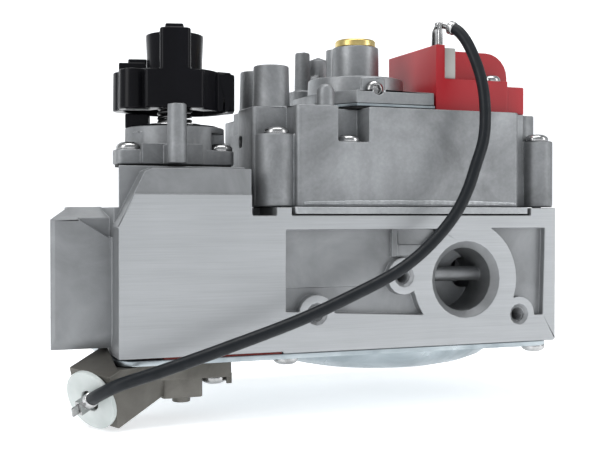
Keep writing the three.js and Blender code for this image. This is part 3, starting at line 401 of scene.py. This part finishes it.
MILLED_TOP = 29.3 * MM
MATERIALS = {
    "body_casting": machined_body("machined_body", MILLED_TOP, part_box("valve_body")[1].y),
    "casing_casting": cast_aluminium("casing_skin", 0.19, 0.36),
    "bonnet_casting": cast_aluminium("bonnet_skin", 0.16, 0.32),
    "regulator_casting": cast_aluminium("regulator_skin", 0.21, 0.38, 0.40),
    "servo_casting": cast_aluminium("servo_skin", 0.18, 0.34),
    "sheet_aluminium": cast_aluminium("sheet_skin", 0.30, 0.46, 0.4),
    "zinc_plate": sheet_zinc("zinc_sheet"),
    "bright_steel": bright_metal("bright_zinc", grey(0.50), grey(0.30), 0.2),
    "spring_steel": bright_metal("spring_wire", grey(0.20), grey(0.11), 0.3),
    "brass": bright_metal("turned_brass", (0.83, 0.68, 0.30, 1), (0.62, 0.47, 0.18, 1), 0.25),
    "zinc_casting": zinc_casting("block_skin"),
    "red_plastic": moulded("red_moulding", (0.40, 0.004, 0.012, 1), (0.31, 0.003, 0.009, 1), 0.36),
    "black_plastic": moulded("black_moulding", (0.006, 0.006, 0.008, 1),
                             (0.003, 0.003, 0.004, 1), 0.22, 0.13),
    "nylon": milky_nylon("milky_nylon"),
    "grey_plastic": moulded("grey_moulding", (0.50, 0.49, 0.46, 1), (0.40, 0.40, 0.38, 1), 0.55),
    "seal_rubber": matt_rubber("seal_rubber", (0.018, 0.018, 0.019, 1), (0.010, 0.010, 0.010, 1)),
    "red_gasket": matt_rubber("red_fibre", (0.16, 0.018, 0.014, 1), (0.09, 0.012, 0.010, 1), 0.8, 900),
    "copper": bright_metal("copper_winding", (0.62, 0.28, 0.14, 1), (0.42, 0.17, 0.08, 1), 0.3),
    "lead_sleeve": matt_rubber("lead_sleeve", (0.011, 0.013, 0.016, 1),
                               (0.006, 0.008, 0.010, 1), 0.40, 260, 0.2),
}
NODE_SLOT = {entry["node"]: entry["material_slot"] for entry in frame["record"]["subparts"]}


# ---- pieces ----
def finish_piece(name, bm, body, slot, bevel=0.0):
    """Turns a bmesh into a shown piece, with a material and a body. bevel is in mm."""
    mesh = bpy.data.meshes.new(name)
    bmesh.ops.recalc_face_normals(bm, faces=bm.faces)
    bm.to_mesh(mesh)
    bm.free()
    piece = new_object(name, mesh)
    mesh.materials.append(MATERIALS[slot])
    mesh.shade_smooth()
    if bevel:
        modifier = piece.modifiers.new("rounded_edges", "BEVEL")
        modifier.width = bevel * MM
        modifier.segments = 2
        modifier.limit_method = "ANGLE"
        modifier.angle_limit = math.radians(32)
        modifier.use_clamp_overlap = False
        modifier.miter_outer = "MITER_ARC"
    weighted = piece.modifiers.new("flat_faces", "WEIGHTED_NORMAL")
    weighted.keep_sharp = True
    mesh.set_sharp_from_angle(angle=math.radians(60))
    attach(piece, body)
    return piece


def dressed(node, bevel, body=None):
    """A CAD node's own shape with its flat faces merged and its edges rounded."""
    bm = bmesh.new()
    bm.from_mesh(NODES[node].data)
    bmesh.ops.remove_doubles(bm, verts=bm.verts, dist=2e-6)
    bmesh.ops.dissolve_limit(bm, angle_limit=math.radians(1), verts=bm.verts, edges=bm.edges)
    bmesh.ops.dissolve_degenerate(bm, dist=0.02 * MM, edges=bm.edges)
    wide = [face for face in bm.faces if len(face.verts) > 4]
    bmesh.ops.triangulate(bm, faces=wide, quad_method="BEAUTY", ngon_method="BEAUTY")
    body = body or NODES[node]["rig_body"]
    piece = finish_piece(f"{node}_finished", bm, body, NODE_SLOT[node], bevel)
    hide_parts(node)
    return piece


# CAD nodes that are shown with rounded edges, and the width of those edges in mm.
DRESSED = {
    "valve_body": 0.3, "upper_casing": 0.5, "knob_bonnet": 0.4, "regulator_housing": 0.4,
    "servo_cover": 0.5, "thermocouple_block": 0.25, "coil_housing": 0.35, "coil_insert": 0.2,
    "bottom_cover": 0.3, "control_knob": 0.5, "knob_stop_ring": 0.3,
    "regulator_adjuster": 0.25, "insulating_disc": 0.3, "separator_plate": 0.15,
    "regulator_plate": 0.15,
}


def dress_castings():
    for node, bevel in DRESSED.items():
        dressed(node, bevel)


def paint_plain_nodes():
    """CAD nodes whose shape is right keep it and get their slot's material."""
    for name, node in NODES.items():
        if node.hide_render:
            continue
        node.data.materials.clear()
        node.data.materials.append(MATERIALS[NODE_SLOT[name]])


# ---- turned, swept and threaded parts ----
def join_loops(bm, lower, upper):
    """A band of four-sided faces between two loops of equally many vertices."""
    count = len(lower)
    for i in range(count):
        j = (i + 1) % count
        bm.faces.new((lower[i], lower[j], upper[j], upper[i]))


def skin_rings(bm, rings):
    """Closes a body round rings of equally many points, given from one end to the other."""
    loops = [[bm.verts.new(point) for point in ring] for ring in rings]
    count = len(loops[0])
    for lower, upper in zip(loops, loops[1:]):
        join_loops(bm, lower, upper)
    for loop, flipped in ((loops[0], True), (loops[-1], False)):
        centre = bm.verts.new(sum((v.co for v in loop), Vector()) / count)
        for i in range(count):
            pair = (loop[i], loop[(i + 1) % count])
            bm.faces.new((*(reversed(pair) if flipped else pair), centre))


def turned_rings(profile, count=36):
    """Rings about Z; each profile entry is (radius, height) with an optional six-lobe depth."""
    rings = []
    for radius, height, *lobe in profile:
        depth = lobe[0] if lobe else 0.0
        ring = []
        for i in range(count):
            angle = 2 * math.pi * i / count
            reach = radius * (1 + depth * math.cos(6 * angle))
            ring.append(Vector((reach * math.cos(angle), reach * math.sin(angle), height)) * MM)
        rings.append(ring)
    return rings


# The way each screw's head faces, and the height of a head in mm.
AXES = {"up": Vector((0, 0, 1)), "down": Vector((0, 0, -1)), "front": Vector((0, -1, 0))}
HEAD_HEIGHT = 2.6


def make_screw(node, way):
    """Pan head with a rolled edge and a six-lobe recess on a shank with thread ridges."""
    low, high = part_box(node)
    direction = AXES[way]
    size = (high - low) / MM
    centre = (low + high) / 2
    if way == "front":
        head_r, total = min(size.x, size.z) / 2, size.y
    else:
        head_r, total = min(size.x, size.y) / 2, size.z
    length = total - HEAD_HEIGHT
    tip = centre - direction * (total / 2) * MM
    profile = [(0.9, 0), (1.45, 0.5)]
    height = 0.8
    while height < length - 1.2:
        profile += [(1.55, height), (1.86, height + 0.3), (1.86, height + 0.36), (1.55, height + 0.66)]
        height += 0.75
    r, lobe = head_r, 0.13
    head = [(1.6, -0.3), (1.6, 0), (r - 0.35, 0), (r - 0.05, 0.18), (r, 0.45), (r, 0.95),
            (r * 0.975, 1.35), (r * 0.9, 1.75), (r * 0.78, 2.12), (r * 0.66, 2.36),
            (r * 0.6, 2.46)]
    recess = [(r * 0.545, 2.5, lobe * 0.6), (r * 0.5, 2.46, lobe), (r * 0.47, 2.3, lobe),
              (r * 0.44, 0.95, lobe), (r * 0.2, 0.8)]
    profile += [(radius, length + rise, *rest) for radius, rise, *rest in head + recess]
    bm = bmesh.new()
    skin_rings(bm, turned_rings(profile))
    turn = direction.to_track_quat("Z", "Y").to_matrix().to_4x4()
    bmesh.ops.transform(bm, matrix=Matrix.Translation(tip) @ turn, verts=bm.verts)
    piece = finish_piece(f"{node}_finished", bm, NODES[node]["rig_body"], NODE_SLOT[node])
    piece.data.set_sharp_from_angle(angle=math.radians(42))
    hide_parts(node)


SCREWS = {
    "up": [f"casing_screw_{i}" for i in range(1, 6)]
    + ["bonnet_screw_1", "bonnet_screw_2", "coil_screw"],
    "down": [f"cover_screw_{i}" for i in range(1, 5)] + ["block_screw"],
    "front": ["regulator_screw"],
}


def sweep(bm, line, radius, count, start_taper, end_taper):
    """A round rod along a line of points, with its frame carried from point to point."""
    up = Vector((0, 0, 1))
    rings = []
    for i, point in enumerate(line):
        ahead = line[min(i + 1, len(line) - 1)]
        behind = line[max(i - 1, 0)]
        along = (ahead - behind).normalized()
        side = along.cross(up).normalized()
        over = side.cross(along).normalized()
        scale = start_taper if i == 0 else end_taper if i == len(line) - 1 else 1.0
        angles = [2 * math.pi * k / count for k in range(count)]
        rings.append([point + (side * math.cos(a) + over * math.sin(a)) * radius * scale
                      for a in angles])
    skin_rings(bm, rings)


# Each coil spring: its node, the joint that shortens it, that joint's travel in mm,
# the spring's fixed end, the radius of its wire in mm and its turns.
SPRINGS = [
    ("knob_spring", "knob_push", 4.5, "low", 0.62, 6.5),
    ("safety_valve_spring", "safety_valve_lift", 4.5, "low", 0.45, 4.5),
    ("main_valve_spring", "main_valve_lift", 4.0, "high", 0.6, 4.5),
    ("plunger_spring", "plunger_lift", 2.0, "high", 0.35, 4.5),
    ("regulator_spring", "spring_seat_travel", 3.0, "low", 0.5, 5.5),
]


def flatten_with(piece):
    """Gives the piece its own copy of its mesh."""
    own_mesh(piece)


def make_spring(node, joint, travel, fixed, wire, turns):
    """Round wire with closed end coils."""
    low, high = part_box(node)
    middle = (low + high) / 2
    coil_r = (high.x - low.x) / 2 - wire * MM
    bottom, top = low.z + wire * MM, high.z - wire * MM
    steps, closed = 20, 0.7
    line = []
    for i in range(int(turns * steps) + 1):
        turned = i / steps
        climbed = min(1, max(0, (turned - closed) / (turns - 2 * closed)))
        height = bottom + (top - bottom) * climbed
        angle = 2 * math.pi * turned
        line.append(Vector((middle.x + coil_r * math.cos(angle),
                            middle.y + coil_r * math.sin(angle), height)))
    bm = bmesh.new()
    sweep(bm, line, wire * MM, 8, 0.8, 0.8)
    piece = finish_piece(f"{node}_finished", bm, "body", NODE_SLOT[node])
    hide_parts(node)
    flatten_with(piece)


FLANGE_HOLES = [(-24.2, 1.6), (21.7, -12.9), (-56.4, -10.2)]


def make_threads():
    """Screw threads inside the flange holes of both faces, each one helical ridge."""
    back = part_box("valve_body")[1].y
    hole, crest, runout, start = 2.62, 0.42, 0.12, 1.3
    turns, steps, pitch = 11, 20, 0.8
    for index, (x, z) in enumerate(FLANGE_HOLES):
        for side, face, inward in (("front", 0.0, 1), ("rear", back, -1)):
            bm = bmesh.new()
            rings = []
            for i in range(turns * steps + 1):
                angle = 2 * math.pi * i / steps
                depth = start + pitch * i / steps
                tip = hole - (crest if 0 < i < turns * steps else runout)
                ring = []
                for out, slide in ((hole, -0.32), (tip, -0.05), (tip, 0.05), (hole, 0.32)):
                    across = Vector((x + out * math.cos(angle), 0, z + out * math.sin(angle)))
                    ring.append(across * MM
                                + Vector((0, face + inward * (depth + slide) * MM, 0)))
                rings.append(ring)
            skin_rings(bm, rings)
            finish_piece(f"flange_thread_{side}_{index + 1}", bm, "body", "body_casting")


def make_flash_line():
    """Thin uneven rib of casting flash along the casing's lower front edge."""
    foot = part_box("upper_casing")[0].z + 1.3 * MM
    face, left, right = 4, -59.4, 22.6
    bm = bmesh.new()
    rings = []
    count = 110
    for i in range(count + 1):
        x = (left + (right - left) * i / count) * MM
        swell = 0.22 + 0.09 * math.sin(i * 1.9) + 0.05 * math.sin(i * 0.53 + 1)
        lift = 0.06 * math.sin(i * 0.31)
        tall = 0.9 * math.sin(math.pi * i / count) ** 0.5
        shape = [(0.05, -0.55), (-swell, -0.4), (-swell * 0.7, 0.1 + tall * 0.5), (0.05, 0.15 + tall)]
        rings.append([Vector((x, face * MM + a * MM, foot + (b + lift) * MM)) for a, b in shape])
    skin_rings(bm, rings)
    finish_piece("casing_flash_rib", bm, "body", "sheet_aluminium")


def lead_end(line, near_start):
    """The end point of the lead's line, and the way the lead points there."""
    end, inner = (line[0], line[6]) if near_start else (line[-1], line[-7])
    return end, (end - inner).normalized()


def make_upper_terminal(line):
    """Push-on receptacle: a flat back with both edges rolled round the blade, pinched at its neck."""
    low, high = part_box("coil_blade")
    x, y = (low.x + high.x) / 2, (low.y + high.y) / 2
    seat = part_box("coil_housing")[1].z + 0.35 * MM
    wall, roll, half = 0.24, 0.85, 1.85
    middle = [Vector((roll * math.cos(a), half + roll * math.sin(a), 0))
              for a in (math.radians(190 - 32 * i) for i in range(9))]
    middle += [Vector((v.x, -v.y, 0)) for v in reversed(middle)]
    outer, inner = [], []
    for i, point in enumerate(middle):
        along = middle[min(i + 1, len(middle) - 1)] - middle[max(i - 1, 0)]
        across = along.normalized().cross(Vector((0, 0, 1)))
        outer.append(point + across * wall)
        inner.append(point - across * wall)
    outline = outer + inner[::-1]
    count = len(outline)
    # Each level up the receptacle: height, width against the full one, shift along X.
    levels = ((0, 1.0, 0), (0.2, 1.03, 0), (2.4, 1.0, 0.03), (4.4, 0.98, 0.0),
              (5.4, 0.9, 0.12), (6.4, 0.72, 0.35), (7.3, 0.66, 0.55))
    bm = bmesh.new()
    loops = []
    for height, pinch, drift in levels:
        loops.append([bm.verts.new((x + (p.x * pinch + drift) * MM, y + p.y * pinch * MM,
                                    seat + height * MM)) for p in outline])
    for lower, upper in zip(loops, loops[1:]):
        join_loops(bm, lower, upper)
    for loop in (loops[0], loops[-1]):
        for i in range(count // 2 - 1):
            bm.faces.new((loop[i], loop[i + 1], loop[count - 2 - i], loop[count - 1 - i]))
    slot = NODE_SLOT["lead_terminal_upper"]
    receptacle = finish_piece("upper_receptacle", bm, "body", slot)
    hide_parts("lead_terminal_upper")
    end, outward = lead_end(line, True)
    neck = [end - outward * 0.8 * MM, end + outward * 0.9 * MM,
            Vector((x + 1.3 * MM, y + 0.9 * MM, seat + 7.6 * MM)),
            Vector((x + 0.3 * MM, y + 0.2 * MM, seat + 7.2 * MM)),
            Vector((x, y, seat + 6.2 * MM))]
    bm = bmesh.new()
    sweep(bm, neck, 1.15 * MM, 14, 0.9, 0.7)
    return [receptacle, finish_piece("upper_neck", bm, "body", slot)]


def make_ferrules(line):
    """Crimped ferrules over both ends of the lead's sleeve."""
    bore, count = 2.03, 28
    ferrules = []
    for name, near_start, reach in (("upper_ferrule", True, 2.2), ("lower_ferrule", False, 2.4)):
        end, outward = lead_end(line, near_start)
        bm = bmesh.new()
        profile = [(2.06, -reach), (2.3, -reach + 0.1), (2.42, -reach + 0.35), (2.36, -reach + 0.9),
                   (2.46, -0.5), (2.36, -0.1), (2.06, 0.02)]
        inside = [(bore, 0.02 - 0.1), (bore, -reach + 0.1)]
        rings = turned_rings(profile, count) + turned_rings(inside, count)
        loops = [[bm.verts.new(point) for point in ring] for ring in rings]
        for lower, upper in zip(loops, loops[1:] + loops[:1]):
            join_loops(bm, lower, upper)
        turn = outward.to_track_quat("Z", "Y").to_matrix().to_4x4()
        bmesh.ops.transform(bm, matrix=Matrix.Translation(end) @ turn, verts=bm.verts)
        ferrules.append(finish_piece(name, bm, "body", "bright_steel"))
    return ferrules


# ---- the jumper lead ----
LEAD_RADIUS = 2 * MM
# The lead's route in mm, from its upper end to its lower one.
LEAD_POINTS = [
    (0.2, 12.4, 90.2), (1.7, 9.6, 88.7), (3.4, 6.6, 84.9), (5, 2, 76.4), (5.3, -2, 67.6),
    (4.5, -5, 57.6), (2.3, -7.5, 48.5), (-1.6, -9, 39.5), (-5.4, -10, 31), (-10.9, -11, 22.6),
    (-20.9, -12, 12.6), (-32.5, -13, 4.6), (-50.8, -14, -3.6), (-68.4, -15, -10.3),
    (-93.2, -15.5, -18.1), (-114, -14, -24.6), (-124.7, -10.6, -28.2), (-129.7, -4.8, -31.8),
    (-131.5, 0.2, -34.2),
]


def catmull_rom(points, steps):
    """A centripetal curve through the points, as the CAD lead has, with even samples in each span."""
    knots = [2 * points[0] - points[1], *points, 2 * points[-1] - points[-2]]
    line = []
    for i in range(1, len(knots) - 2):
        a, b, c, d = knots[i - 1 : i + 3]
        t0, t1 = 0.0, (b - a).length ** 0.5
        t2 = t1 + (c - b).length ** 0.5
        t3 = t2 + (d - c).length ** 0.5
        for step in range(steps):
            t = t1 + (t2 - t1) * step / steps
            ab = a.lerp(b, (t - t0) / (t1 - t0))
            bc = b.lerp(c, (t - t1) / (t2 - t1))
            cd = c.lerp(d, (t - t2) / (t3 - t2))
            abc = ab.lerp(bc, (t - t0) / (t2 - t0))
            bcd = bc.lerp(cd, (t - t1) / (t3 - t1))
            line.append(abc.lerp(bcd, (t - t1) / (t2 - t1)))
    line.append(points[-1])
    return line


def make_lead():
    """The lead's sleeve with the terminals and ferrules on its ends."""
    line = catmull_rom([Vector(p) * MM for p in LEAD_POINTS], steps=8)
    curve = bpy.data.curves.new("jumper_lead_sleeve", "CURVE")
    curve.dimensions = "3D"
    curve.bevel_depth = LEAD_RADIUS
    curve.bevel_resolution = 5
    curve.use_fill_caps = True
    spline = curve.splines.new("POLY")
    spline.points.add(len(line) - 1)
    for point, place in zip(spline.points, line):
        point.co = (*place, 1)
    curve.materials.append(MATERIALS["lead_sleeve"])
    lead = new_object("jumper_lead_sleeve", curve)
    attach(lead, "body")
    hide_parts("jumper_lead")
    ends = [*make_upper_terminal(line), *make_ferrules(line), NODES["lead_terminal_lower"]]


make_camera()
make_lead()
dress_castings()
for way, nodes in SCREWS.items():
    for screw in nodes:
        make_screw(screw, way)
for spring in SPRINGS:
    make_spring(*spring)
diaphragm = dressed("main_diaphragm", 0, body="body")
flatten_with(diaphragm)
make_threads()
make_flash_line()
paint_plain_nodes()
make_backdrop(pale_floor("pale_floor"))
make_lights()
